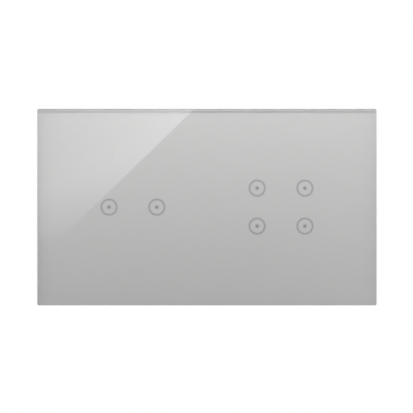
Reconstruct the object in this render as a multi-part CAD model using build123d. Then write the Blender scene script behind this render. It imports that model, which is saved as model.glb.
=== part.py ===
from build123d import *

import math
import os

# Glass touch switch panel for two wall boxes side by side: two touch fields on the left, four on the right.
#
# The panel is one pane of toughened glass, printed grey on its back and bonded to a moulded carrier. The
# carrier pushes on to two flush-mounted switch units, one in each wall box, where spring clips grip its
# blades. A switch unit is a steel mounting plate clamped between a moulded front body, which holds the touch
# board, and a rear housing, which holds the power board, two relays and the screw terminals.
#
# Everything is modelled lying on its back: x runs along the panel, y up the panel and z out into the room,
# with z = 0 at the wall. stand_up() turns each finished piece upright: +X along the panel, +Z up, the room
# at -Y. The origin is in the wall plane, in the middle of the four box screws. Sizes are in millimetres.

# Wall boxes
box_pitch = 71.0
box_screw_spacing = 60.0
box_screw_clearance_diameter = 4.0
box_slot_length = 9.0

# Glass pane and its print
panel_width = 162.3
panel_height = 94.0
glass_thickness = 4.0
glass_corner_radius = 0.9
glass_front_arris = 0.5
glass_back_arris = 0.2
print_thickness = 0.2
print_border = 0.1
field_pitch_x = 22.9
field_pitch_y = 18.2
mark_ring_diameter = 7.3
mark_ring_line = 0.85
mark_dot_diameter = 1.55
tape_thickness = 0.5
tape_border = 0.8

# Carrier
carrier_inset = 1.2
carrier_corner_radius = 1.6
carrier_back_edge = 0.5
carrier_wall = 1.8
carrier_web = 1.6
carrier_window_gap = 0.6
carrier_rib = 1.2
carrier_rib_tip_gap = 0.8
collar_opening = 15.0
rib_offset_x = 18.0
rib_offset_y = 14.0
blade_thickness = 1.6
blade_length = 6.4
blade_tip_gap = 0.6
blade_tip_edge = 0.4
pry_notch_width = 8.0
pry_notch_depth = 2.2

# Mounting plate
plate_joint = 0.4
plate_margin = 9.3
plate_thickness = 1.2
plate_corner_radius = 3.0
plate_opening_diameter = 38.0
keyhole_length = 12.0
keyhole_head_diameter = 7.0
keyhole_head_offset = 3.0
plate_tab_width = 6.0
plate_tab_reach = 2.4
plate_tab_gap = 0.4
plate_tab_taper = 1.0

# Spring clips and their rivets
clip_collar_gap = 0.4
clip_y = 29.0
clip_strip = 0.5
clip_length = 7.0
clip_base_half = 2.5
clip_flare = 0.9
clip_flare_height = 1.2
clip_bend_radius = 0.4
clip_top_gap = 0.6
rivet_diameter = 2.0
rivet_head_diameter = 3.2
rivet_head_height = 0.5

# Front body of a switch unit, and its mask
body_corner_radius = 4.0
body_wall = 1.6
body_floor = 1.2
body_ledge = 1.4
body_ledge_height = 2.4
body_front_gap = 0.9
spigot_gap = 0.3
spigot_wall = 1.4
boss_diameter = 6.0
boss_screw_bite = 3.6
boss_roof = 0.3
mask_thickness = 1.5
mask_skirt = 1.2
mask_skirt_height = 0.8
mask_hole_gap = 0.8

# Touch board and what it carries
front_fit = 0.2
touch_board_thickness = 1.0
touch_spring_diameter = 8.0
touch_spring_wire = 0.6
touch_spring_turns = 2.0
touch_spring_gap = 0.1
led_length = 2.0
led_width = 1.25
led_height = 0.7
led_fit = 0.15
light_pipe_diameter = 2.2
light_pipe_foot_diameter = 4.6
light_pipe_foot_height = 1.2
light_pipe_gap = 0.3
chip_size = 4.0
chip_height = 0.7
chip_y = 9.0

# Pins between the two boards
pin_count = 5
pin_pitch = 2.54
pin_diameter = 0.64
pin_hole_gap = 0.05
pin_stub = 0.5
pin_strip_width = 2.5
pin_strip_height = 2.5
pin_row_gap = 1.8
pin_way_margin = 1.0

# Rear housing
housing_corner_radius = 12.0
housing_wall = 1.6
housing_depth = 26.0
housing_back_edge = 1.2
housing_rib_width = 2.4
housing_rib_reach = 1.3
post_diameter = 7.2
post_land = 0.6
post_edge = 1.9
post_gap = 0.4
wire_hole_diameter = 3.2
wire_funnel_diameter = 5.0
wire_funnel_depth = 1.0

# Housing screws
screw_diameter = 2.6
screw_length = 18.0
screw_head_diameter = 4.2
screw_head_height = 1.7
screw_recess_width = 0.7
screw_recess_length = 2.6
screw_recess_depth = 0.9
screw_fit = 0.03
screw_clearance = 0.3

# Power board and what it carries
power_board_thickness = 1.6
power_board_drop = 3.0
power_board_gap = 0.3
relay_height = 15.3
relay_edge = 0.5
relay_rib_gap = 1.3
relay_joint = 0.6
relay_pin_gap = 1.2
relay_post_gap = 0.8
transformer_core_width = 13.0
transformer_height = 11.0
transformer_coil_diameter = 9.0
transformer_coil_gap = 0.15
transformer_flange = 1.2
transformer_core_gap = 0.8
transformer_relay_gap = 2.2
transformer_rib_gap = 3.7
transformer_pin_gap = 0.8
transformer_capacitor_gap = 2.6
capacitor_diameter = 8.0
capacitor_height = 13.0
capacitor_groove = 0.4
capacitor_groove_height = 2.0
capacitor_edge = 0.5
capacitor_post_gap = 0.33
capacitor_post_angle = 34.0
filter_height = 9.0
filter_edge = 0.4
filter_post_gap = 3.5
filter_capacitor_gap = 2.5
filter_relay_gap = 1.7
filter_rib_gap = 1.9

# Screw terminals
terminal_count = 4
terminal_depth = 10.5
terminal_gap = 0.1
terminal_bottom_gap = 0.2
terminal_post_gap = 0.4
terminal_wall = 1.3
terminal_cavity_length = 6.4
terminal_cavity_height = 12.3
terminal_hole_diameter = 3.9
clamp_gap = 0.15
clamp_height = 6.8
clamp_side = 0.7
clamp_screw_wall = 1.6
clamp_top_wall = 1.2
clamp_tail_thickness = 1.0
clamp_tail_width = 3.0
terminal_screw_diameter = 2.9
terminal_screw_head_diameter = 3.6
terminal_screw_head_height = 1.8
terminal_screw_reach = 0.25
terminal_screw_recess = 1.7
terminal_slot_width = 0.7
terminal_slot_depth = 1.0

# Heights above the wall, worked out from the sizes above
board_back = plate_thickness + body_ledge_height
board_front = board_back + touch_board_thickness
mask_back = board_front + mask_skirt_height
body_front = mask_back + mask_thickness
print_back = body_front + body_front_gap
glass_back = print_back + print_thickness
glass_front = glass_back + glass_thickness
web_front = print_back - tape_thickness
web_back = web_front - carrier_web
rib_tip = plate_thickness + carrier_rib_tip_gap
spring_front = print_back - touch_spring_gap
screw_tip = plate_thickness + boss_screw_bite
screw_head_seat = screw_tip - screw_length
rear_floor = housing_wall - housing_depth
power_board_front = -power_board_drop
power_board_back = power_board_front - power_board_thickness
pin_tip = board_front + pin_stub
pin_tail = power_board_back - pin_stub
cavity_floor = power_board_back - terminal_cavity_height
clamp_floor = cavity_floor + clamp_gap
clamp_front = clamp_floor + clamp_height
wire_height = (clamp_floor + clamp_screw_wall + clamp_front - clamp_top_wall) / 2
terminal_screw_head = -housing_depth + housing_wall + terminal_screw_recess
terminal_screw_tip = clamp_floor + clamp_screw_wall + terminal_screw_reach

# Widths worked out from the sizes above
plate_size = box_pitch - plate_joint
body_size = plate_size - 2 * plate_margin
body_cavity = body_size - 2 * body_wall
body_cavity_radius = body_corner_radius - body_wall
board_size = body_cavity - 2 * front_fit
board_radius = body_cavity_radius - front_fit
carrier_width = panel_width - 2 * carrier_inset
carrier_height = panel_height - 2 * carrier_inset
window_size = body_size + 2 * carrier_window_gap
clip_x = window_size / 2 + carrier_rib + clip_collar_gap + clip_strip / 2 + clip_base_half
clip_centre_half_gap = (blade_thickness + clip_strip) / 2
spigot_diameter = plate_opening_diameter - 2 * spigot_gap
mask_hole_diameter = touch_spring_diameter + 2 * mask_hole_gap
post_offset = (plate_opening_diameter / 2 + post_land + post_diameter / 2) / math.sqrt(2)
post_inner = post_offset - post_diameter / 2
housing_inside = 2 * (post_offset + post_diameter / 2 + post_edge)
housing_inside_radius = housing_corner_radius - housing_wall
housing_size = housing_inside + 2 * housing_wall
power_board_size = housing_inside - 2 * power_board_gap
rib_face = housing_inside / 2 - housing_rib_reach

# Where things stand on the power board, from the screw terminals at its bottom edge upwards
terminal_width = 2 * (post_inner - terminal_post_gap)
terminal_pitch = terminal_width / terminal_count
terminal_cavity_width = terminal_pitch - terminal_wall
terminal_back_y = -housing_inside / 2 + terminal_bottom_gap
terminal_row_y = terminal_back_y + terminal_depth / 2
pin_row_y = terminal_back_y + terminal_depth + pin_row_gap
relay_left = -rib_face + relay_rib_gap
relay_bottom = pin_row_y + relay_pin_gap
relay_top = post_inner - relay_post_gap
core_right = rib_face - transformer_rib_gap
relay_right = core_right - transformer_core_width - transformer_relay_gap
relay_width = (relay_right - relay_left - relay_joint) / 2
relay_length = relay_top - relay_bottom
capacitor_reach = (post_diameter + capacitor_diameter) / 2 + capacitor_post_gap
capacitor_x = post_offset - capacitor_reach * math.cos(math.radians(capacitor_post_angle))
capacitor_y = post_offset - capacitor_reach * math.sin(math.radians(capacitor_post_angle))
bobbin_bottom = pin_row_y + transformer_pin_gap
bobbin_length = capacitor_y - capacitor_diameter / 2 - transformer_capacitor_gap - bobbin_bottom
filter_left = -post_inner + filter_post_gap
filter_width = capacitor_x - capacitor_diameter / 2 - filter_capacitor_gap - filter_left
filter_bottom = relay_top + filter_relay_gap
filter_depth = rib_face - filter_rib_gap - filter_bottom

# The two switch units: where each is centred, and its touch fields about that centre
half_x = field_pitch_x / 2
half_y = field_pitch_y / 2
units = {
    "left": (-box_pitch / 2, [(-half_x, 0), (half_x, 0)]),
    "right": (box_pitch / 2, [(-half_x, half_y), (half_x, half_y), (-half_x, -half_y), (half_x, -half_y)]),
}
corners = [(-1, -1), (-1, 1), (1, -1), (1, 1)]


def slab(outline, back, front):
    """An outline made solid between two heights above the wall."""
    return extrude(Pos(0, 0, back) * outline, amount=front - back)


def rod(diameter, back, front, x=0, y=0):
    """A round bar along z between two heights."""
    return Pos(x, y) * slab(Circle(diameter / 2), back, front)


def block(width, length, back, front, x=0, y=0):
    """A square-edged bar along z between two heights."""
    return Pos(x, y) * slab(Rectangle(width, length), back, front)


def square(size, radius):
    """A square outline with round corners."""
    return RectangleRounded(size, size, radius)


def at_places(places, shape):
    """One copy of a shape at each place."""
    return [Pos(x, y) * shape for x, y in places]


def at_corners(offset_x, offset_y, shape):
    """One copy of a shape in each corner of a square or rectangle."""
    return at_places([(sx * offset_x, sy * offset_y) for sx, sy in corners], shape)


def all_fields():
    """The middle of every touch field on the panel."""
    return [(centre + x, y) for centre, fields in units.values() for x, y in fields]


def glass_panel():
    """The pane, with ground edges. The back one is small, so that the print reaches nearly to the rim."""
    pane = slab(RectangleRounded(panel_width, panel_height, glass_corner_radius), glass_back, glass_front)
    pane = chamfer(pane.faces().sort_by(Axis.Z)[-1].edges(), glass_front_arris)
    return chamfer(pane.faces().sort_by(Axis.Z)[0].edges(), glass_back_arris)


def touch_mark():
    """A thin ring with a dot in its middle."""
    outside, inside = mark_ring_diameter + mark_ring_line, mark_ring_diameter - mark_ring_line
    return Circle(outside / 2) - Circle(inside / 2) + Circle(mark_dot_diameter / 2)


def touch_marks():
    """The translucent print that shows where to touch, and lets each light through."""
    return slab(Sketch() + at_places(all_fields(), touch_mark()), print_back, glass_back)


def back_print():
    """The opaque grey print on the back of the glass, left open at the touch marks."""
    inset = glass_back_arris + print_border
    width, height = panel_width - 2 * inset, panel_height - 2 * inset
    outline = RectangleRounded(width, height, glass_corner_radius - inset)
    return slab(outline - at_places(all_fields(), touch_mark()), print_back, glass_back)


def windows(size, radius):
    """The two square openings that the switch units come through."""
    return at_places([(centre, 0) for centre, fields in units.values()], square(size, radius))


def bonding_tape():
    """The die-cut double-sided tape between the print and the carrier's web."""
    width, height = carrier_width - 2 * tape_border, carrier_height - 2 * tape_border
    outline = RectangleRounded(width, height, carrier_corner_radius)
    cut = windows(window_size + 2 * tape_border, body_corner_radius + tape_border)
    return slab(outline - cut, web_front, print_back)


def collar():
    """The wall around one window, left out at the middle of each side to clear a box screw's head."""
    radius = body_corner_radius + carrier_window_gap
    ring = square(window_size + 2 * carrier_rib, radius + carrier_rib) - square(window_size, radius)
    reach = window_size + 4 * carrier_rib
    return slab(ring - Rectangle(reach, collar_opening) - Rectangle(collar_opening, reach), rib_tip, web_back)


def carrier_ribs(inside_width, inside_height):
    """Straight ribs that tie the collars to the outer wall and to each other."""
    outside_collar = window_size / 2 + carrier_rib
    end_length = inside_width / 2 - box_pitch / 2 - outside_collar
    middle_length = box_pitch - 2 * outside_collar
    edge_length = inside_height / 2 - outside_collar
    seat = carrier_rib / 2
    ribs = []
    for side in (-1, 1):
        y = side * rib_offset_y
        x = box_pitch / 2 + outside_collar + end_length / 2
        ribs.append(Pos(0, y) * Rectangle(middle_length + 2 * seat, carrier_rib))
        ribs += [Pos(end * x, y) * Rectangle(end_length + 2 * seat, carrier_rib) for end in (-1, 1)]
        for centre, fields in units.values():
            for x in (centre - rib_offset_x, centre + rib_offset_x):
                middle = outside_collar + edge_length / 2
                ribs.append(Pos(x, side * middle) * Rectangle(carrier_rib, edge_length + 2 * seat))
    return slab(Sketch() + ribs, rib_tip, web_back)


def blade():
    """One flat blade of the carrier, gripped by a spring clip."""
    tip = plate_thickness + clip_strip + rivet_head_height + blade_tip_gap
    plain = slab(Rectangle(blade_thickness, blade_length), tip, web_back)
    return chamfer(plain.faces().sort_by(Axis.Z)[0].edges().filter_by(Axis.Y), blade_tip_edge)


def carrier_frame():
    outline = RectangleRounded(carrier_width, carrier_height, carrier_corner_radius)
    inside_width = carrier_width - 2 * carrier_wall
    inside_height = carrier_height - 2 * carrier_wall
    inside = Rectangle(inside_width, inside_height)
    tray = slab(outline, 0, web_front)
    tray = chamfer(tray.faces().sort_by(Axis.Z)[0].edges(), carrier_back_edge)
    tray -= slab(inside, 0, web_back)
    openings = Sketch() + windows(window_size, body_corner_radius + carrier_window_gap)
    tray -= slab(openings, web_back, web_front)
    tray += carrier_ribs(inside_width, inside_height)
    for centre, fields in units.values():
        tray += Pos(centre) * collar()
        tray += [Pos(centre) * one for one in at_corners(clip_x, clip_y, blade())]
        notch = block(pry_notch_width, 2 * carrier_wall, 0, pry_notch_depth, centre, -carrier_height / 2)
        tray -= notch
    return tray


def keyhole():
    """A slot across the box-screw circle, with a hole at one end that passes the screw's head."""
    slot = Rot(0, 0, 90) * SlotOverall(keyhole_length, box_screw_clearance_diameter)
    return slot + Pos(0, keyhole_head_offset) * Circle(keyhole_head_diameter / 2)


def tab(grow):
    """A side tab that lines the plate up with its neighbour. The notch for it is the same outline, grown."""
    half = plate_tab_width / 2 + grow
    reach = plate_tab_reach + grow
    tip = half - plate_tab_taper
    return make_face(Polyline((-grow, -half), (reach, -tip), (reach, tip), (-grow, half), close=True))


def mounting_plate():
    half = plate_size / 2
    radius = box_screw_spacing / 2
    outline = square(plate_size, plate_corner_radius)
    for side in (-1, 1):
        y = side * rib_offset_y
        outline += Pos(half, y) * tab(0)
        outline -= Pos(half - box_pitch, y) * tab(plate_tab_gap)
    outline -= Circle(plate_opening_diameter / 2)
    slot = SlotOverall(box_slot_length, box_screw_clearance_diameter)
    outline -= at_places([(0, -radius), (0, radius)], slot)
    outline -= [Pos(radius) * keyhole(), Pos(-radius) * Rot(0, 0, 180) * keyhole()]
    outline -= at_corners(clip_x, clip_y, Circle(rivet_diameter / 2 + screw_fit))
    outline -= at_corners(post_offset, post_offset, Circle(screw_diameter / 2 + screw_clearance))
    return slab(outline, 0, plate_thickness)


def spring_clip():
    """A U of spring strip whose two legs pinch a blade of the carrier between them."""
    base = plate_thickness + clip_strip / 2
    top = web_back - clip_top_gap
    waist = clip_centre_half_gap
    right = [(waist + clip_flare, top), (waist, top - clip_flare_height), (clip_base_half, base)]
    left = [(-x, z) for x, z in reversed(right)]
    strip = trace(FilletPolyline(*right, *left, radius=clip_bend_radius), clip_strip)
    clip = Pos(0, clip_length / 2) * Rot(90, 0, 0) * extrude(strip, amount=clip_length)
    return clip - rod(rivet_diameter + 2 * screw_fit, 0, plate_thickness + 2 * clip_strip)


def clip_rivet():
    seat = plate_thickness + clip_strip
    return rod(rivet_diameter, 0, seat) + rod(rivet_head_diameter, seat, seat + rivet_head_height)


def front_body():
    """The moulded body in front of the plate: a tray for the touch board on a round spigot."""
    outline = square(body_size, body_corner_radius)
    ledge = square(body_cavity - 2 * body_ledge, body_cavity_radius)
    body = slab(outline, plate_thickness, body_front)
    body -= slab(ledge, plate_thickness + body_floor, board_back)
    body -= slab(square(body_cavity, body_cavity_radius), board_back, body_front)
    body += at_corners(post_offset, post_offset, rod(boss_diameter, plate_thickness, mask_back))
    spigot = Circle(spigot_diameter / 2) - Circle(spigot_diameter / 2 - spigot_wall)
    body += slab(spigot, power_board_front, plate_thickness)
    bore = rod(screw_diameter + 2 * screw_fit, plate_thickness, screw_tip + boss_roof)
    body -= at_corners(post_offset, post_offset, bore)
    way_length = pin_count * pin_pitch + 2 * pin_way_margin
    way_width = pin_strip_width + 2 * pin_way_margin
    return body - block(way_length, way_width, plate_thickness, plate_thickness + body_floor, 0, pin_row_y)


def mask(fields):
    """The cover over the touch board: a hole for each touch spring, and a skirt that holds the board down."""
    outline = square(board_size, board_radius)
    inside = square(board_size - 2 * mask_skirt, board_radius / 2)
    cover = slab(outline, mask_back, body_front) + slab(outline - inside, board_front, mask_back)
    return cover - at_places(fields, rod(mask_hole_diameter, mask_back, body_front))


def pin_places():
    return [((n - (pin_count - 1) / 2) * pin_pitch, pin_row_y) for n in range(pin_count)]


def pin_holes():
    return at_places(pin_places(), Circle(pin_diameter / 2 + pin_hole_gap))


def touch_board():
    outline = square(board_size, board_radius)
    outline -= at_corners(post_offset, post_offset, Circle(boss_diameter / 2 + front_fit))
    return slab(outline - pin_holes(), board_back, board_front)


def touch_springs(fields):
    """A short coil spring at each field, of square wire, that carries the touch signal to the glass."""
    radius = (touch_spring_diameter - touch_spring_wire) / 2
    rise = spring_front - board_front - touch_spring_wire
    coil = Helix(rise / touch_spring_turns, rise, radius)
    start = Plane(origin=(radius, 0, 0), x_dir=(1, 0, 0), z_dir=(0, 1, 0))
    wire = sweep(start * Rectangle(touch_spring_wire, touch_spring_wire), path=coil, is_frenet=True)
    seated = Pos(0, 0, board_front + touch_spring_wire / 2) * wire
    return Part() + at_places(fields, seated)


def leds(fields):
    return Part() + at_places(fields, block(led_length, led_width, board_front, board_front + led_height))


def light_pipes(fields):
    """A clear rod over each light, with a hollow foot that fits over it."""
    top = print_back - light_pipe_gap
    pipe = rod(light_pipe_foot_diameter, board_front, board_front + light_pipe_foot_height)
    pipe += rod(light_pipe_diameter, board_front + light_pipe_foot_height, top)
    pocket_top = board_front + led_height + led_fit
    pipe -= block(led_length + 2 * led_fit, led_width + 2 * led_fit, board_front, pocket_top)
    return Part() + at_places(fields, pipe)


def touch_chip():
    return block(chip_size, chip_size, board_front, board_front + chip_height, 0, chip_y)


def pin_strip():
    top = power_board_front + pin_strip_height
    strip = block(pin_count * pin_pitch, pin_strip_width, power_board_front, top, 0, pin_row_y)
    return strip - slab(Sketch() + pin_holes(), power_board_front, top)


def pins():
    return Part() + at_places(pin_places(), rod(pin_diameter, pin_tail, pin_tip))


def power_board():
    outline = square(power_board_size, housing_inside_radius - power_board_gap)
    outline -= at_corners(post_offset, post_offset, Circle(post_diameter / 2 + post_gap))
    return slab(outline - pin_holes(), power_board_back, power_board_front)


def rear_housing():
    """The moulded box in the wall, with screw posts in its corners and ribs that carry the power board."""
    box = slab(square(housing_size, housing_corner_radius), -housing_depth, 0)
    box = chamfer(box.faces().sort_by(Axis.Z)[0].edges(), housing_back_edge)
    box -= slab(square(housing_inside, housing_inside_radius), rear_floor, 0)
    posts = at_corners(post_offset, post_offset, Circle(post_diameter / 2))
    kept = square(housing_inside + housing_wall, housing_inside_radius + housing_wall / 2)
    box += slab((Sketch() + posts) & kept, rear_floor, 0)
    reach = housing_rib_reach + housing_wall / 2
    middle = housing_inside / 2 - housing_rib_reach + reach / 2
    for x, y, turn in ((-middle, 0, 0), (middle, 0, 0), (0, middle, 90)):
        rib = Rot(0, 0, turn) * Rectangle(reach, housing_rib_width)
        box += slab(Pos(x, y) * rib, rear_floor, power_board_back)
    box -= at_corners(post_offset, post_offset, rod(screw_diameter + 2 * screw_clearance, -housing_depth, 0))
    recess = rod(screw_head_diameter + 2 * screw_clearance, -housing_depth, screw_head_seat)
    box -= at_corners(post_offset, post_offset, recess)
    driver_ways = [Pos(x, terminal_row_y) * Circle(terminal_hole_diameter / 2) for x in terminal_places()]
    box -= slab(Sketch() + driver_ways, -housing_depth, rear_floor)
    return box - [Pos(x) * wire_entry() for x in terminal_places()]


def wire_entry():
    """A wire hole with a short funnel, through the wall below a terminal."""
    outside = -housing_size / 2
    start = Plane(origin=(0, outside, wire_height), z_dir=(0, 1, 0))
    hole = extrude(start * Circle(wire_hole_diameter / 2), amount=housing_wall)
    mouth = loft([
        start * Circle(wire_funnel_diameter / 2),
        start.offset(wire_funnel_depth) * Circle(wire_hole_diameter / 2),
    ])
    return hole + mouth


def housing_screw():
    """A self-tapping screw with a round head and a cross recess. It is put in from the rear."""
    head = rod(screw_head_diameter, screw_head_seat - screw_head_height, screw_head_seat)
    head = fillet(head.faces().sort_by(Axis.Z)[0].edges(), screw_head_height / 3)
    recess_top = screw_head_seat - screw_head_height + screw_recess_depth
    bar = block(screw_recess_width, screw_recess_length, screw_head_seat - screw_head_height, recess_top)
    return head - bar - Rot(0, 0, 90) * bar + rod(screw_diameter, screw_head_seat, screw_tip)


def relays():
    """Two box relays, side by side on the power board."""
    back = power_board_back - relay_height
    case = block(relay_width, relay_length, back, power_board_back)
    case = fillet(case.faces().sort_by(Axis.Z)[0].edges() + case.edges().filter_by(Axis.Z), relay_edge)
    middle = (relay_bottom + relay_top) / 2
    first, second = relay_left + relay_width / 2, relay_right - relay_width / 2
    return Part() + at_places([(first, middle), (second, middle)], case)


def transformer():
    """A ferrite core around a wound bobbin that lies along y."""
    back = power_board_back - transformer_height
    place = Pos(core_right - transformer_core_width / 2, bobbin_bottom + bobbin_length / 2)
    core_length = bobbin_length - 2 * (transformer_flange + transformer_core_gap)
    hollow = transformer_coil_diameter + 2 * transformer_coil_gap
    middle = power_board_back - transformer_height / 2
    core = block(transformer_core_width, core_length, back, power_board_back)
    core -= block(hollow, core_length, middle - hollow / 2, middle + hollow / 2)
    coil = Pos(0, 0, middle) * Rot(90, 0, 0) * Cylinder(transformer_coil_diameter / 2, bobbin_length)
    end_y = (bobbin_length - transformer_flange) / 2
    coil += at_places([(0, -end_y), (0, end_y)], block(hollow, transformer_flange, back, power_board_back))
    return place * core, place * coil


def smoothing_capacitor():
    """An electrolytic can with the rolled groove near its foot."""
    radius = capacitor_diameter / 2
    can = rod(capacitor_diameter, power_board_back - capacitor_height, power_board_back)
    can = fillet(can.faces().sort_by(Axis.Z)[0].edges(), capacitor_edge)
    groove_middle = power_board_back - capacitor_groove_height
    groove = Pos(0, 0, groove_middle) * Torus(radius + capacitor_groove, 2 * capacitor_groove)
    return Pos(capacitor_x, capacitor_y) * (can - groove)


def filter_capacitor():
    case = block(filter_width, filter_depth, power_board_back - filter_height, power_board_back)
    edges = case.faces().sort_by(Axis.Z)[0].edges() + case.edges().filter_by(Axis.Z)
    return Pos(filter_left + filter_width / 2, filter_bottom + filter_depth / 2) * fillet(edges, filter_edge)


def terminal_places():
    return [(n - (terminal_count - 1) / 2) * terminal_pitch for n in range(terminal_count)]


def terminal_block():
    """The moulded block with a chamber, a screw hole and a wire hole for each terminal."""
    back = rear_floor + terminal_gap
    body = block(terminal_width, terminal_depth, back, power_board_back, 0, terminal_row_y)
    cavity = block(terminal_cavity_width, terminal_cavity_length, cavity_floor, power_board_back)
    driver_way = rod(terminal_hole_diameter, back, cavity_floor)
    inlet = Plane(origin=(0, terminal_back_y, wire_height), z_dir=(0, 1, 0)) * Circle(wire_hole_diameter / 2)
    for x in terminal_places():
        body -= Pos(x, terminal_row_y) * cavity
        body -= Pos(x, terminal_row_y) * driver_way
        body -= Pos(x) * extrude(inlet, amount=terminal_depth / 2)
    return body


def terminal_clamp():
    """A brass cage that the screw draws up on the wire, with a tail to the board."""
    width = terminal_cavity_width - 2 * clamp_gap
    length = terminal_cavity_length - 2 * clamp_gap
    cage = block(width, length, clamp_floor, clamp_front)
    way = width - 2 * clamp_side
    cage -= block(way, length, clamp_floor + clamp_screw_wall, clamp_front - clamp_top_wall)
    cage -= rod(terminal_screw_diameter + 2 * screw_fit, clamp_floor, clamp_floor + clamp_screw_wall)
    tail_y = (length - clamp_tail_thickness) / 2
    return cage + block(clamp_tail_width, clamp_tail_thickness, clamp_front, power_board_back, 0, tail_y)


def terminal_screw():
    """A slotted cheese-head screw, backed out so that its terminal stands open."""
    seat = terminal_screw_head + terminal_screw_head_height
    head = rod(terminal_screw_head_diameter, terminal_screw_head, seat)
    head -= block(terminal_screw_head_diameter, terminal_slot_width, terminal_screw_head,
                  terminal_screw_head + terminal_slot_depth)
    return head + rod(terminal_screw_diameter, seat, terminal_screw_tip)


def at_terminals(shape):
    return Part() + at_places([(x, terminal_row_y) for x in terminal_places()], shape)


def switch_unit(fields):
    """Every piece of one switch unit, centred on its wall box."""
    core, coil = transformer()
    return {
        "mounting_plate": mounting_plate(),
        "spring_clips": Part() + at_corners(clip_x, clip_y, spring_clip()),
        "clip_rivets": Part() + at_corners(clip_x, clip_y, clip_rivet()),
        "front_body": front_body(),
        "mask": mask(fields),
        "touch_board": touch_board(),
        "touch_springs": touch_springs(fields),
        "status_lights": leds(fields),
        "light_pipes": light_pipes(fields),
        "touch_chip": touch_chip(),
        "pin_strip": pin_strip(),
        "board_pins": pins(),
        "power_board": power_board(),
        "relays": relays(),
        "transformer_core": core,
        "transformer_coil": coil,
        "smoothing_capacitor": smoothing_capacitor(),
        "filter_capacitor": filter_capacitor(),
        "terminal_block": terminal_block(),
        "terminal_clamps": at_terminals(terminal_clamp()),
        "terminal_screws": at_terminals(terminal_screw()),
        "rear_housing": rear_housing(),
        "housing_screws": Part() + at_corners(post_offset, post_offset, housing_screw()),
    }


def stand_up(shape):
    """Turns a piece that lies on its back upright, facing the room."""
    return Rot(90, 0, 0) * shape


def main():
    os.makedirs("parts", exist_ok=True)
    pieces = {
        "glass_panel": glass_panel(),
        "back_print": back_print(),
        "touch_marks": touch_marks(),
        "bonding_tape": bonding_tape(),
        "carrier_frame": carrier_frame(),
    }
    for side, (centre, fields) in units.items():
        for name, shape in switch_unit(fields).items():
            pieces[f"{side}_{name}"] = Pos(centre) * shape
    for name, shape in pieces.items():
        export_step(stand_up(shape), f"parts/{name}.step")


main()
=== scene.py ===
import math

import bpy
import numpy as np
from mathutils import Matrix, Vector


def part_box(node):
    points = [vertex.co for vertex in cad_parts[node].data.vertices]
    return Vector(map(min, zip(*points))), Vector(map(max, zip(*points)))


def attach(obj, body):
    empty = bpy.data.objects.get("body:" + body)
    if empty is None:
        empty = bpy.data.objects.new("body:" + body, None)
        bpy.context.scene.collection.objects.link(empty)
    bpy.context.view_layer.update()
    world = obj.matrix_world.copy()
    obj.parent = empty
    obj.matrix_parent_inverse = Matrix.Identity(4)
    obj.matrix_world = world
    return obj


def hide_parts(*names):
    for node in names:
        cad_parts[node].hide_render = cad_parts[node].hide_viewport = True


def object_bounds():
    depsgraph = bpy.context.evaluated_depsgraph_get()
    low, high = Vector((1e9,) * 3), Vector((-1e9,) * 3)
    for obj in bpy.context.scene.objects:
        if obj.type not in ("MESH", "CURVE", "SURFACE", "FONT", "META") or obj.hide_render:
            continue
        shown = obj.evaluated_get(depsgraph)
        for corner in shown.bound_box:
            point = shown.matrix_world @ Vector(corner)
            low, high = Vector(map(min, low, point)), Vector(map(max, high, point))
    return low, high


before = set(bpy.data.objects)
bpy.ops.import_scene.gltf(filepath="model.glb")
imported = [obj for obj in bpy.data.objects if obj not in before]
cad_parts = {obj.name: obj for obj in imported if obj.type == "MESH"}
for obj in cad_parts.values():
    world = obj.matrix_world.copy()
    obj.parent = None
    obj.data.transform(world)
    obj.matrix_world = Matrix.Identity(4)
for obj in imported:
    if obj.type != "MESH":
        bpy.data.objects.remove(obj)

cadLow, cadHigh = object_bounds()
mm = 0.001
fieldPitch = {"x": 22.9 * mm, "z": 18.2 * mm}
# where the fields of each unit lie, in pitches from the unit's middle
fieldRows = {"left": [(-0.5, 0.0), (0.5, 0.0)],
             "right": [(-0.5, 0.5), (0.5, 0.5), (-0.5, -0.5), (0.5, -0.5)]}
print("frame loaded:", len(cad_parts), "nodes")


def middle(node):
    low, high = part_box(node)
    return (low + high) / 2


def fieldPlaces(side):
    centre = middle(f"{side}_front_body")
    return [(centre.x + across * fieldPitch["x"], centre.z + up * fieldPitch["z"])
            for across, up in fieldRows[side]]


# Node helpers. Every pattern reads Object coordinates, in metres

def newMaterial(name):
    material = bpy.data.materials.new(name)
    material.use_nodes = True
    tree = material.node_tree
    return material, tree, tree.nodes["Principled BSDF"], tree.nodes["Material Output"]


def addNode(tree, kind, inputs=None, **settings):
    node = tree.nodes.new(kind)
    for key, value in settings.items():
        setattr(node, key, value)
    for key, value in (inputs or {}).items():
        node.inputs[key].default_value = value
    return node


def joinNodes(tree, *links):
    for source, target in links:
        tree.links.new(source, target)


def objectNoise(tree, size, detail=3.0, stretch=(1, 1, 1)):
    # noise whose grains are about size metres across, drawn out along an axis by stretch
    where = addNode(tree, "ShaderNodeTexCoord")
    mapping = addNode(tree, "ShaderNodeMapping", {"Scale": [1 / s for s in stretch]})
    noise = addNode(tree, "ShaderNodeTexNoise", {"Scale": 1 / size, "Detail": detail, "Roughness": 0.55})
    joinNodes(tree, (where.outputs["Object"], mapping.inputs["Vector"]),
              (mapping.outputs["Vector"], noise.inputs["Vector"]))
    return noise.outputs["Fac"]


def ramp(tree, factor, stops):
    # a colour ramp through stops of (place, colour), where a plain number stands for a grey
    node = addNode(tree, "ShaderNodeValToRGB")
    elements = node.color_ramp.elements
    while len(elements) < len(stops):
        elements.new(0.5)
    for element, (place, colour) in zip(elements, stops):
        element.position = place
        element.color = (*colour, 1) if hasattr(colour, "__len__") else (colour, colour, colour, 1)
    tree.links.new(factor, node.inputs["Fac"])
    return node.outputs["Color"]


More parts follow.
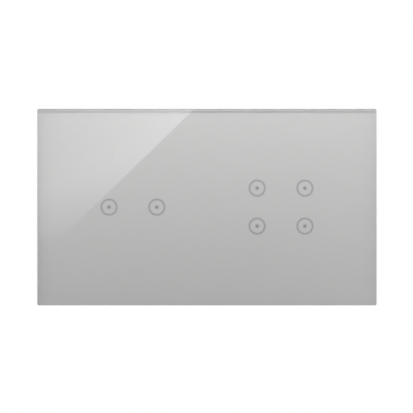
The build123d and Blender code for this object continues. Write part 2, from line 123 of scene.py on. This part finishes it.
def addBump(tree, shader, height, depth, strength=1.0):
    bump = addNode(tree, "ShaderNodeBump", {"Distance": depth, "Strength": strength})
    joinNodes(tree, (height, bump.inputs["Height"]), (bump.outputs["Normal"], shader.inputs["Normal"]))


# Finishes

plastic = {"grain": 0.16 * mm, "grainDepth": 0.012 * mm, "drift": 14 * mm, "driftStretch": (1.6, 1, 1),
           "driftShare": 0.035, "glossier": 0.05, "duller": 0.06, "refraction": 1.49}


def mouldedPlastic(name, colour, roughness=0.46, grainDepth=None):
    # spark-eroded mould grain, with faint flow marks in colour and gloss
    material, tree, shader, output = newMaterial(name)
    share = plastic["driftShare"]
    drift = objectNoise(tree, plastic["drift"], 2.0, plastic["driftStretch"])
    low, high = [c * (1 - share) for c in colour], [min(1, c * (1 + share)) for c in colour]
    tree.links.new(ramp(tree, drift, [(0.3, low), (0.7, high)]), shader.inputs["Base Color"])
    glossy, dull = roughness - plastic["glossier"], roughness + plastic["duller"]
    tree.links.new(ramp(tree, drift, [(0.25, glossy), (0.75, dull)]), shader.inputs["Roughness"])
    grain = objectNoise(tree, plastic["grain"], 2.0)
    addBump(tree, shader, grain, grainDepth or plastic["grainDepth"])
    shader.inputs["IOR"].default_value = plastic["refraction"]
    return material


metal = {"lineDepth": 0.003 * mm, "dullShare": 0.9, "duller": 0.07, "glossier": 0.05}


def metalSheet(name, colour, roughness, grain, cloud, stretch=(1, 1, 1)):
    # rolled or plated metal: cloudy gloss over fine drawn-out lines
    material, tree, shader, output = newMaterial(name)
    shader.inputs["Metallic"].default_value = 1.0
    clouds = objectNoise(tree, cloud, 4.0)
    dull = [c * metal["dullShare"] for c in colour]
    tree.links.new(ramp(tree, clouds, [(0.32, dull), (0.68, colour)]), shader.inputs["Base Color"])
    gloss = ramp(tree, clouds, [(0.3, roughness + metal["duller"]), (0.7, roughness - metal["glossier"])])
    tree.links.new(gloss, shader.inputs["Roughness"])
    addBump(tree, shader, objectNoise(tree, grain, 3.0, stretch), metal["lineDepth"])
    return material


clearLevel, glassRefraction = 0.98, 1.5


def clearGlass(name, tint, roughness, shade=clearLevel, specular=0.5):
    # camera and mirror rays see glass. Bounced light goes straight through, and so does a lamp's light, at
    # the level that shade gives
    material, tree, shader, output = newMaterial(name)
    shader.inputs["Specular IOR Level"].default_value = specular
    shader.inputs["Base Color"].default_value = (*tint, 1)
    shader.inputs["Transmission Weight"].default_value = 1.0
    shader.inputs["Roughness"].default_value = roughness
    shader.inputs["IOR"].default_value = glassRefraction
    path = addNode(tree, "ShaderNodeLightPath")
    seen = shader.outputs["BSDF"]
    for ray, level in (("Is Diffuse Ray", clearLevel), ("Is Shadow Ray", shade)):
        through = addNode(tree, "ShaderNodeBsdfTransparent", {"Color": (level, level, level, 1)})
        mix = addNode(tree, "ShaderNodeMixShader")
        joinNodes(tree, (path.outputs[ray], mix.inputs["Fac"]), (seen, mix.inputs[1]),
                  (through.outputs["BSDF"], mix.inputs[2]))
        seen = mix.outputs["Shader"]
    tree.links.new(seen, output.inputs["Surface"])
    return material


def bondedFace(name):
    # the back face of the pane, which the print is fused to, so nothing bends or mirrors there
    material, tree, shader, output = newMaterial(name)
    through = addNode(tree, "ShaderNodeBsdfTransparent", {"Color": (clearLevel, clearLevel, clearLevel, 1)})
    tree.links.new(through.outputs["BSDF"], output.inputs["Surface"])
    tree.nodes.remove(shader)
    return material


# A bleed is (width, shade): how far the ink of a mark runs into the grey print, and how dark it makes it
ink = {"grain": 0.35 * mm, "roughness": 0.62, "specular": 0.12, "patternEnd": 6 * mm,
       "dot": (0.253, 0.243, 0.2475), "dotRadius": 0.775 * mm, "dotBleed": (0.55 * mm, 0.82),
       "ring": (0.322, 0.3145, 0.3175), "ringInside": 3.225 * mm, "insideBleed": (0.35 * mm, 0.92),
       "ringOutside": 4.075 * mm, "outsideBleed": (0.42 * mm, 0.84)}


def nearestField(tree):
    # distance, in the panel's plane, from the middle of the nearest field
    where = addNode(tree, "ShaderNodeTexCoord")
    flat = addNode(tree, "ShaderNodeVectorMath", {1: (1, 0, 1)}, operation="MULTIPLY")
    tree.links.new(where.outputs["Object"], flat.inputs[0])
    nearest = None
    for x, z in fieldPlaces("left") + fieldPlaces("right"):
        away = addNode(tree, "ShaderNodeVectorMath", {1: (x, 0, z)}, operation="DISTANCE")
        tree.links.new(flat.outputs["Vector"], away.inputs[0])
        if nearest is None:
            nearest = away.outputs["Value"]
            continue
        least = addNode(tree, "ShaderNodeMath", operation="MINIMUM")
        joinNodes(tree, (nearest, least.inputs[0]), (away.outputs["Value"], least.inputs[1]))
        nearest = least.outputs["Value"]
    return nearest


def firedInk(name, speck, stops):
    # ceramic ink fired on the glass, with a very fine speckle. Its colour follows stops of (distance from
    # the nearest field, colour)
    material, tree, shader, output = newMaterial(name)
    end = ink["patternEnd"]
    spread = addNode(tree, "ShaderNodeMapRange", {"From Min": 0.0, "From Max": end})
    tree.links.new(nearestField(tree), spread.inputs["Value"])
    colour = ramp(tree, spread.outputs["Result"], [(away / end, tone) for away, tone in stops])
    shade = ramp(tree, objectNoise(tree, ink["grain"], 3.0), [(0.3, 1 - speck), (0.7, 1.0)])
    mix = addNode(tree, "ShaderNodeMix", data_type="RGBA", blend_type="MULTIPLY")
    factor, first, second, result = mix.inputs[0], mix.inputs[6], mix.inputs[7], mix.outputs[2]
    factor.default_value = 1.0
    joinNodes(tree, (colour, first), (shade, second), (result, shader.inputs["Base Color"]))
    shader.inputs["Roughness"].default_value = ink["roughness"]
    shader.inputs["Specular IOR Level"].default_value = ink["specular"]
    return material


def greyPrint(name, colour, speck):
    # the opaque print, a little darker where the ink of a mark bleeds into it
    stops = []
    for edge, bleed, way in (("dotRadius", "dotBleed", 1), ("ringInside", "insideBleed", -1),
                             ("ringOutside", "outsideBleed", 1)):
        width, shade = ink[bleed]
        stops += [(ink[edge], [c * shade for c in colour]), (ink[edge] + way * width, colour)]
    return firedInk(name, speck, sorted(stops))


def markPrint(name, speck):
    # ink in the openings of the print: a thin layer in the rings, a dense one in the dots at their middles
    return firedInk(name, speck, [(ink["dotRadius"], ink["dot"]), (ink["ringInside"], ink["ring"])])


board = {"trackScale": 260.0, "trackWidth": 0.055, "trackLength": 1.7, "trackPitch": 0.42,
         "trackHeight": 0.03 * mm, "roughness": 0.28}


def solderResist(name, colour, copper):
    # green resist over copper tracks that run both ways, slightly raised. The tracks are the joints of a
    # brick pattern turned into the board's plane
    material, tree, shader, output = newMaterial(name)
    where = addNode(tree, "ShaderNodeTexCoord")
    mapping = addNode(tree, "ShaderNodeMapping", {"Rotation": (math.radians(90), 0, 0)})
    brick = addNode(tree, "ShaderNodeTexBrick", {
        "Scale": board["trackScale"], "Mortar Size": board["trackWidth"], "Brick Width": board["trackLength"],
        "Row Height": board["trackPitch"], "Color1": (0, 0, 0, 1), "Color2": (0, 0, 0, 1),
        "Mortar": (1, 1, 1, 1)})
    tracks = ramp(tree, brick.outputs["Color"], [(0.0, colour), (1.0, copper)])
    joinNodes(tree, (where.outputs["Object"], mapping.inputs["Vector"]),
              (mapping.outputs["Vector"], brick.inputs["Vector"]), (tracks, shader.inputs["Base Color"]))
    shader.inputs["Roughness"].default_value = board["roughness"]
    addBump(tree, shader, brick.outputs["Color"], board["trackHeight"])
    return material


finishes = {
    "clear": clearGlass("clearGlass", (0.99, 0.992, 0.99), 0.0),
    "arris": clearGlass("glassArris", (0.94, 0.96, 0.95), 0.03, shade=0.8),
    # painted shade: the top arris is a copy of the arris glass tinted darker and mirroring less, a painted
    # dark line along the upper edge
    "topArrisPaintedShade": clearGlass("glassTopArrisPaintedShade", (0.8, 0.82, 0.81), 0.03, shade=0.92, specular=0.05),
    "edge": clearGlass("glassEdge", (0.9, 0.94, 0.925), 0.03, shade=0.76),
    # painted shade: copies of the edge glass that let less lamp light through on the left side, and almost
    # none in the front strip of the upper side, darkening bands along the left and top of the print
    "leftEdgePaintedShade": clearGlass("glassLeftEdgePaintedShade", (0.9, 0.94, 0.925), 0.03, shade=0.44),
    "topEdgePaintedShade": clearGlass("glassTopEdgePaintedShade", (0.9, 0.94, 0.925), 0.03, shade=0.08),
    "bonded": bondedFace("bondedGlassFace"),
    "print": greyPrint("greyPrint", (0.482, 0.482, 0.480), 0.024),
    "marks": markPrint("markPrint", 0.03),
    "tape": mouldedPlastic("foamTape", (0.8, 0.8, 0.78), 0.8, 0.03 * mm),
    "carrier": mouldedPlastic("carrierPlastic", (0.62, 0.62, 0.615), 0.5),
    "housing": mouldedPlastic("housingPlastic", (0.74, 0.74, 0.72), 0.48),
    "mask": mouldedPlastic("maskPlastic", (0.035, 0.036, 0.04), 0.55),
    "black": mouldedPlastic("blackPlastic", (0.018, 0.018, 0.02), 0.4),
    "terminal": mouldedPlastic("terminalPlastic", (0.09, 0.1, 0.11), 0.42),
    "relay": mouldedPlastic("relayCase", (0.03, 0.055, 0.12), 0.3, 0.004 * mm),
    "sleeve": mouldedPlastic("capacitorSleeve", (0.03, 0.035, 0.08), 0.25, 0.004 * mm),
    "filter": mouldedPlastic("filterCase", (0.62, 0.45, 0.06), 0.3, 0.004 * mm),
    "coil": mouldedPlastic("coilTape", (0.66, 0.5, 0.08), 0.35, 0.01 * mm),
    "ferrite": mouldedPlastic("ferrite", (0.05, 0.05, 0.055), 0.6, 0.02 * mm),
    "lens": mouldedPlastic("lightLens", (0.86, 0.83, 0.68), 0.25, 0.002 * mm),
    "pipe": clearGlass("clearPipe", (0.95, 0.96, 0.97), 0.06),
    "zinc": metalSheet("zincSteel", (0.52, 0.53, 0.56), 0.36, 0.25 * mm, 9 * mm, (14, 1, 1)),
    "spring": metalSheet("springSteel", (0.7, 0.68, 0.64), 0.24, 0.12 * mm, 4 * mm, (1, 10, 1)),
    "screw": metalSheet("screwSteel", (0.62, 0.62, 0.63), 0.3, 0.1 * mm, 2 * mm),
    "brass": metalSheet("brassStamping", (0.78, 0.57, 0.24), 0.28, 0.12 * mm, 3 * mm, (1, 8, 1)),
    "gold": metalSheet("goldPad", (0.85, 0.66, 0.3), 0.3, 0.08 * mm, 2 * mm),
    "boardFront": solderResist("boardFront", (0.008, 0.07, 0.035), (0.03, 0.16, 0.075)),
    "boardRear": solderResist("boardRear", (0.01, 0.09, 0.04), (0.04, 0.2, 0.09)),
}

nodeFinish = {
    "back_print": "print", "touch_marks": "marks", "bonding_tape": "tape", "carrier_frame": "carrier",
    "glass_panel": "clear", "mounting_plate": "zinc", "spring_clips": "spring", "clip_rivets": "screw",
    "front_body": "housing", "mask": "mask", "touch_board": "boardFront", "touch_springs": "spring",
    "status_lights": "lens", "light_pipes": "pipe", "touch_chip": "black", "pin_strip": "black",
    "board_pins": "gold", "power_board": "boardRear", "relays": "relay", "transformer_core": "ferrite",
    "transformer_coil": "coil", "smoothing_capacitor": "sleeve", "filter_capacitor": "filter",
    "terminal_block": "terminal", "terminal_clamps": "brass", "terminal_screws": "screw",
    "rear_housing": "housing", "housing_screws": "screw",
}
for name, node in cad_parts.items():
    side, _, unitName = name.partition("_")
    plainName = unitName if side in fieldRows else name
    node.data.materials.clear()
    node.data.materials.append(finishes[nodeFinish[plainName]])
print("finishes:", len(finishes))


# Mesh helpers. A surface is a grid of points, rows by columns

def gridFaces(rows, columns):
    # quads between neighbouring rows, with the last column joined to the first
    r, c = np.meshgrid(np.arange(rows - 1), np.arange(columns), indexing="ij")
    right, here, below = (c + 1) % columns, r * columns, (r + 1) * columns
    return np.stack([here + c, here + right, below + right, below + c], -1).reshape(-1, 4)


def addPiece(name, points, faces, used, body, replaced, smooth=True):
    mesh = bpy.data.meshes.new(name)
    corners = np.asarray(points, float).reshape(-1, 3).tolist()
    mesh.from_pydata(corners, [], [list(map(int, face)) for face in faces])
    mesh.validate()
    mesh.polygons.foreach_set("use_smooth", np.full(len(mesh.polygons), smooth))
    for finish in used:
        mesh.materials.append(finishes[finish])
    piece = bpy.data.objects.new(name, mesh)
    bpy.context.scene.collection.objects.link(piece)
    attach(piece, body)
    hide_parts(*replaced)
    return piece


# Glass pane

# how far behind the front face the darker strip of the upper edge ends. That strip lets almost no lamp light
# through, which paints a shade band along the top of the print
glass = {"cornerRadius": 0.9 * mm, "frontArris": 0.5 * mm, "backArris": 0.2 * mm, "edgeRound": 0.05 * mm,
         "paintedShadeDepth": 1.6 * mm, "printGap": 0.04 * mm, "cornerSteps": 10}


def roundedOutline(halfWidth, halfHeight, radius, steps):
    # four quarter circles, one after the other, joined by the straight sides
    quarter = np.linspace(0, math.pi / 2, steps)
    turn = (np.arange(4)[:, None] * math.pi / 2 + quarter[None, :]).ravel()
    signX = np.repeat([1, -1, -1, 1], steps)
    signZ = np.repeat([1, 1, -1, -1], steps)
    x = signX * (halfWidth - radius) + radius * np.cos(turn)
    z = signZ * (halfHeight - radius) + radius * np.sin(turn)
    return np.stack([x, z], -1)


def arrisProfile(width, face, outwards):
    # a ground edge at 45 degrees, with its two corners slightly rounded: (inset, depth) from flat to side
    ease = glass["edgeRound"]
    short, long = 0.3 * ease, 0.4 * ease
    steps = [(width + ease, 0), (width - long, short), (short, width - long), (0, width + ease)]
    return [(inset, face + outwards * depth) for inset, depth in steps]


def makeGlass():
    # the edge profile is carried round the rounded outline, and the front and back are flat caps
    low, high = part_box("glass_panel")
    halfWidth, halfHeight = (high.x - low.x) / 2, (high.z - low.z) / 2
    frontArris = arrisProfile(glass["frontArris"], low.y, 1)
    backArris = arrisProfile(glass["backArris"], high.y - glass["printGap"], -1)[::-1]
    profile = frontArris + [(0, low.y + glass["paintedShadeDepth"])] + backArris
    rows = []
    for inset, y in profile:
        radius = max(glass["cornerRadius"] - inset, glass["backArris"])
        ring = roundedOutline(halfWidth - inset, halfHeight - inset, radius, glass["cornerSteps"])
        rows.append(np.column_stack([ring[:, 0], np.full(len(ring), y), ring[:, 1] + (low.z + high.z) / 2]))
    count = len(rows[0])
    last = (len(rows) - 1) * count
    front, rear = list(range(count)), list(range(last, last + count))[::-1]
    walls = gridFaces(len(rows), count)[:, ::-1].tolist()
    used = ["clear", "arris", "topArrisPaintedShade", "edge", "leftEdgePaintedShade", "topEdgePaintedShade", "bonded"]
    piece = addPiece("glassPane", np.array(rows), [front] + walls + [rear], used, "front_panel",
                     ["glass_panel"], smooth=False)
    # a finish for each strip of the profile on each side of the pane. The sides meet in mid corner. The left
    # and upper sides take shaded copies of the glass, for painted shade along the left and top of the print
    arrisEnd = len(frontArris) - 1
    turn = np.arange(count) / glass["cornerSteps"]                  # in corners, from the upper right one
    top, left = (turn >= 0.5) & (turn < 1.5), (turn >= 1.5) & (turn < 2.5)
    strips = np.full((len(rows) - 1, count), used.index("edge"))
    # the left side lets less lamp light through than the right and bottom: a painted shade band along the
    # left of the print
    strips[:, left] = used.index("leftEdgePaintedShade")
    strips[arrisEnd, top] = used.index("topEdgePaintedShade")                   # the key lamp comes in over this edge, and this strip lets almost none of its light through: a painted shade band along the top of the print
    strips[:arrisEnd] = used.index("arris")
    # the upper arris takes the darker-tinted, weakly mirroring copy: a painted dark line along the top edge
    strips[:arrisEnd, top] = used.index("topArrisPaintedShade")
    finishIndex = np.concatenate([[used.index("clear")], strips.ravel(), [used.index("bonded")]])
    piece.data.polygons.foreach_set("material_index", finishIndex)


makeGlass()
print("glass pane made")


# Touch springs

spring = {"wire": 0.5 * mm, "turns": 2.6, "flatTurns": 0.8, "perTurn": 40, "around": 10}


def tube(path, radius, around):
    # circles square to the path at each point, with their first axis square to Y as well
    tangent = np.gradient(path, axis=0)
    tangent /= np.linalg.norm(tangent, axis=1, keepdims=True)
    side = np.cross(tangent, np.array([0.0, 1.0, 0.0]))
    side /= np.linalg.norm(side, axis=1, keepdims=True)
    up = np.cross(side, tangent)
    angle = np.linspace(0, 2 * math.pi, around, endpoint=False)
    ring = np.cos(angle)[None, :, None] * side[:, None, :] + np.sin(angle)[None, :, None] * up[:, None, :]
    return path[:, None, :] + radius * ring


def makeSprings(side):
    # A helix whose rise starts and ends flat, so that both end turns lie closed. The outermost springs stand
    # half a pitch from the middle of the node's box, which leaves their radius
    low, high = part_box(f"{side}_touch_springs")
    wire, turns, flat = spring["wire"], spring["turns"], spring["flatTurns"]
    outer = middle(f"{side}_touch_springs").x - low.x - fieldPitch["x"] / 2
    t = np.linspace(0, turns, int(turns * spring["perTurn"]))
    rise = np.clip((t - flat / 2) / (turns - flat), 0, 1)
    rise = rise * rise * (3 - 2 * rise)
    y = (high.y - wire / 2) - rise * (high.y - low.y - wire)
    radius = outer - wire / 2
    coil = np.stack([radius * np.cos(2 * math.pi * t), y, radius * np.sin(2 * math.pi * t)], -1)
    points, faces, start = [], [], 0
    for x, z in fieldPlaces(side):
        skin = tube(coil + np.array([x, 0, z]), wire / 2, spring["around"])
        rows, columns = skin.shape[:2]
        quads = gridFaces(rows, columns)[:, ::-1] + start
        firstEnd, lastEnd = np.arange(columns), (rows - 1) * columns + np.arange(columns)[::-1]
        caps = [list(start + firstEnd), list(start + lastEnd)]
        points.append(skin.reshape(-1, 3))
        faces += quads.tolist() + caps
        start += rows * columns
    addPiece(f"{side}TouchSprings", np.concatenate(points), faces, ["spring"], "wall_unit",
             [f"{side}_touch_springs"])


for side in fieldRows:
    makeSprings(side)
print("touch springs made")


# Stage: floor, lamps, card for the diagonal reflection, camera

studio = {"floorDrop": 0.21, "floorRadius": 0.8, "floorCorners": 128, "floorFade": (0.25, 0.7),
          "floorWhite": 0.6, "paperGrain": 4 * mm, "paperTones": (0.86, 0.88), "paperRoughness": 0.9,
          "worldLight": 0.37}
lamps = {
    "keyLamp": {"place": (-0.03, -0.142, 0.108), "aim": (-0.03, -0.012, 0.045), "size": (0.75, 0.035),
                "power": 0.68},
    "rightLamp": {"place": (0.2, -0.07, -0.09), "aim": (0.07, -0.012, -0.03), "size": (0.08, 0.08),
                  "power": 0.05},
    "leftLamp": {"place": (-0.18, -0.075, -0.14), "aim": (-0.06, -0.012, -0.045), "size": (0.08, 0.08),
                 "power": 0.02},
    "rearLamp": {"place": (0.15, 0.5, 0.45), "aim": (0, 0, 0), "size": (0.5, 0.5), "power": 3.0},
}
view = {"panelWidth": 0.1623, "panelPixels": 339.5, "imageSize": 413, "centrePixel": (206.95, 207.15),
        "lens": 200.0, "sensor": 36.0, "clip": (0.01, 20)}
# Places and distances on the glass are in pixels of the photo, and downwards holds (row, strength). The
# strength is that seen on the glass, of which mirror is the share of the card's light that it reflects
reflection = {"edgeTop": (190.7, 112.5), "edgeFoot": (66.7, 232.5), "left": 20, "above": 100, "below": 250,
              "downwards": [(116, 0.118), (150, 0.111), (164, 0.1), (176, 0.084), (188, 0.067),
                            (200, 0.053), (212, 0.043), (224, 0.028), (238, 0.0)],
              "reach": 160, "mirror": 0.04}


def makeCamera():
    # straight on, with the panel's front face as wide as in the photograph
    data = bpy.data.cameras.new("camera")
    data.lens, data.sensor_width = view["lens"], view["sensor"]
    data.clip_start, data.clip_end = view["clip"]
    camera = bpy.data.objects.new("camera", data)
    bpy.context.scene.collection.objects.link(camera)
    frameWidth = view["panelWidth"] * view["imageSize"] / view["panelPixels"]
    pixel = frameWidth / view["imageSize"]
    distance = frameWidth * view["lens"] / view["sensor"]
    half = view["imageSize"] / 2
    camera.location = ((half - view["centrePixel"][0]) * pixel, cadLow.y - distance,
                       (view["centrePixel"][1] - half) * pixel)
    camera.rotation_euler = (math.pi / 2, 0, 0)
    bpy.context.scene.camera = camera
    return camera, pixel


def makeWorld():
    # plain white light, which camera, mirror and glass rays see at full strength
    world = bpy.data.worlds.new("studio")
    bpy.context.scene.world = world
    world.use_nodes = True
    tree = world.node_tree
    background = tree.nodes["Background"]
    background.inputs["Color"].default_value = (1, 1, 1, 1)
    path = addNode(tree, "ShaderNodeLightPath")
    seen = path.outputs["Is Camera Ray"]
    for other in ("Is Glossy Ray", "Is Transmission Ray"):
        either = addNode(tree, "ShaderNodeMath", operation="MAXIMUM")
        joinNodes(tree, (seen, either.inputs[0]), (path.outputs[other], either.inputs[1]))
        seen = either.outputs["Value"]
    strength = addNode(tree, "ShaderNodeMapRange", {"To Min": studio["worldLight"], "To Max": 1.0})
    joinNodes(tree, (seen, strength.inputs["Value"]),
              (strength.outputs["Result"], background.inputs["Strength"]))


def makeLamp(name, place, aim, size, power):
    data = bpy.data.lights.new(name, "AREA")
    data.shape = "RECTANGLE"
    data.size, data.size_y = size
    data.energy = power
    lamp = bpy.data.objects.new(name, data)
    lamp.location = place
    direction = np.array(aim) - np.array(place)
    lamp.rotation_euler = (math.atan2(math.hypot(direction[0], direction[1]), -direction[2]), 0,
                           math.atan2(direction[1], direction[0]) - math.pi / 2)
    lamp.visible_camera = False
    bpy.context.scene.collection.objects.link(lamp)


def makeFloor():
    # a pale disc, far enough below to stay out of the straight-on view. Seen by the camera, it fades
    # outwards from lit paper to the white of the background, and from underneath it is clear
    corners, radius = studio["floorCorners"], studio["floorRadius"]
    height = cadLow.z - studio["floorDrop"]
    angle = np.linspace(0, 2 * math.pi, corners, endpoint=False)
    ring = np.stack([radius * np.cos(angle), radius * np.sin(angle), np.full(corners, height)], -1)
    mesh = bpy.data.meshes.new("floor")
    mesh.from_pydata(ring.tolist(), [], [list(range(corners))])
    material, tree, shader, output = newMaterial("paleFloor")
    shader.inputs["Roughness"].default_value = studio["paperRoughness"]
    darker, paler = studio["paperTones"]
    paper = ramp(tree, objectNoise(tree, studio["paperGrain"], 3.0), [(0.3, darker), (0.7, paler)])
    tree.links.new(paper, shader.inputs["Base Color"])
    where = addNode(tree, "ShaderNodeTexCoord")
    flat = addNode(tree, "ShaderNodeVectorMath", {1: (1, 1, 0)}, operation="MULTIPLY")
    away = addNode(tree, "ShaderNodeVectorMath", operation="LENGTH")
    near, far = studio["floorFade"]
    fade = addNode(tree, "ShaderNodeMapRange", {"From Min": near, "From Max": far,
                                                "To Min": studio["floorWhite"]},
                   interpolation_type="SMOOTHSTEP")
    path = addNode(tree, "ShaderNodeLightPath")
    seen = addNode(tree, "ShaderNodeMath", operation="MULTIPLY")
    white = addNode(tree, "ShaderNodeEmission", {"Color": (1, 1, 1, 1), "Strength": 1.0})
    fromAbove = addNode(tree, "ShaderNodeMixShader")
    geometry = addNode(tree, "ShaderNodeNewGeometry")
    clear = addNode(tree, "ShaderNodeBsdfTransparent")
    bothFaces = addNode(tree, "ShaderNodeMixShader")
    joinNodes(tree, (where.outputs["Object"], flat.inputs[0]), (flat.outputs["Vector"], away.inputs[0]),
              (away.outputs["Value"], fade.inputs["Value"]), (fade.outputs["Result"], seen.inputs[0]),
              (path.outputs["Is Camera Ray"], seen.inputs[1]),
              (seen.outputs["Value"], fromAbove.inputs["Fac"]), (shader.outputs["BSDF"], fromAbove.inputs[1]),
              (white.outputs["Emission"], fromAbove.inputs[2]),
              (geometry.outputs["Backfacing"], bothFaces.inputs["Fac"]),
              (fromAbove.outputs["Shader"], bothFaces.inputs[1]),
              (clear.outputs["BSDF"], bothFaces.inputs[2]),
              (bothFaces.outputs["Shader"], output.inputs["Surface"]))
    mesh.materials.append(material)
    floor = bpy.data.objects.new("floor", mesh)
    bpy.context.scene.collection.objects.link(floor)


def makeReflectionCard(camera, pixel):
    # A lit card in the camera's own plane. A flat mirror shows it at half its size, so a pixel on the panel
    # is two pixels from the camera's axis there. Its long edge runs through edgeTop and edgeFoot, and its
    # light falls off away from that edge and downwards
    centre = view["imageSize"] / 2
    (topX, topY), (footX, footY) = reflection["edgeTop"], reflection["edgeFoot"]
    lean = (topX - footX) / (footY - topY)                               # pixels leftwards per pixel down
    left, above, below = reflection["left"], reflection["above"], reflection["below"]
    corners = np.array([(topX + lean * (topY - above), above), (topX + lean * (topY - below), below),
                        (left, below), (left, above)], float)
    x = camera.location.x + 2 * (corners[:, 0] - centre) * pixel
    z = camera.location.z - 2 * (corners[:, 1] - centre) * pixel
    mesh = bpy.data.meshes.new("reflectionCard")
    mesh.from_pydata(np.column_stack([x, np.full(4, camera.location.y), z]).tolist(), [], [(0, 1, 2, 3)])
    material, tree, shader, output = newMaterial("cardLight")
    tree.nodes.remove(shader)

    def mapped(source, fromLow, fromHigh, toLow, toHigh, clamp=False):
        node = addNode(tree, "ShaderNodeMapRange", {"From Min": fromLow, "From Max": fromHigh,
                                                    "To Min": toLow, "To Max": toHigh}, clamp=clamp)
        tree.links.new(source, node.inputs["Value"])
        return node.outputs["Result"]

    def combined(operation, first, second):
        node = addNode(tree, "ShaderNodeMath", operation=operation)
        joinNodes(tree, (first, node.inputs[0]), (second, node.inputs[1]))
        return node.outputs["Value"]

    where = addNode(tree, "ShaderNodeTexCoord")
    parts = addNode(tree, "ShaderNodeSeparateXYZ")
    tree.links.new(where.outputs["Object"], parts.inputs["Vector"])
    pixelX = mapped(parts.outputs["X"], x[3], x[0], left, corners[0, 0])
    pixelY = mapped(parts.outputs["Z"], z[0], z[1], above, below)
    edgeX = mapped(pixelY, above, below, corners[0, 0], corners[1, 0])
    inside = combined("SUBTRACT", edgeX, pixelX)                         # pixels left of the long edge
    fading = mapped(inside, 0, reflection["reach"], 1, 0, clamp=True)
    half = addNode(tree, "ShaderNodeMath", {1: 0.5}, operation="MULTIPLY")
    tree.links.new(inside, half.inputs[0])
    fallRow = combined("SUBTRACT", pixelY, half.outputs["Value"])        # equal light slopes up to the left
    low, high = reflection["downwards"][0][0], reflection["downwards"][-1][0]
    peak = max(value for row, value in reflection["downwards"])
    shine = ramp(tree, mapped(fallRow, low, high, 0, 1, clamp=True),
                 [((row - low) / (high - low), value / peak) for row, value in reflection["downwards"]])
    scaled = addNode(tree, "ShaderNodeMath", {1: peak / reflection["mirror"]}, operation="MULTIPLY")
    tree.links.new(combined("MULTIPLY", shine, fading), scaled.inputs[0])
    light = addNode(tree, "ShaderNodeEmission")
    clear = addNode(tree, "ShaderNodeBsdfTransparent")
    joined = addNode(tree, "ShaderNodeAddShader")
    joinNodes(tree, (scaled.outputs["Value"], light.inputs["Strength"]),
              (light.outputs["Emission"], joined.inputs[0]), (clear.outputs["BSDF"], joined.inputs[1]),
              (joined.outputs["Shader"], output.inputs["Surface"]))
    mesh.materials.append(material)
    card = bpy.data.objects.new("reflectionCard", mesh)
    bpy.context.scene.collection.objects.link(card)
    card.visible_camera = card.visible_diffuse = card.visible_transmission = card.visible_shadow = False


camera, pixel = makeCamera()
makeWorld()
makeFloor()
makeReflectionCard(camera, pixel)
for name, settings in lamps.items():
    makeLamp(name, **settings)
bpy.context.scene.view_settings.view_transform = "Standard"
print("stage set")
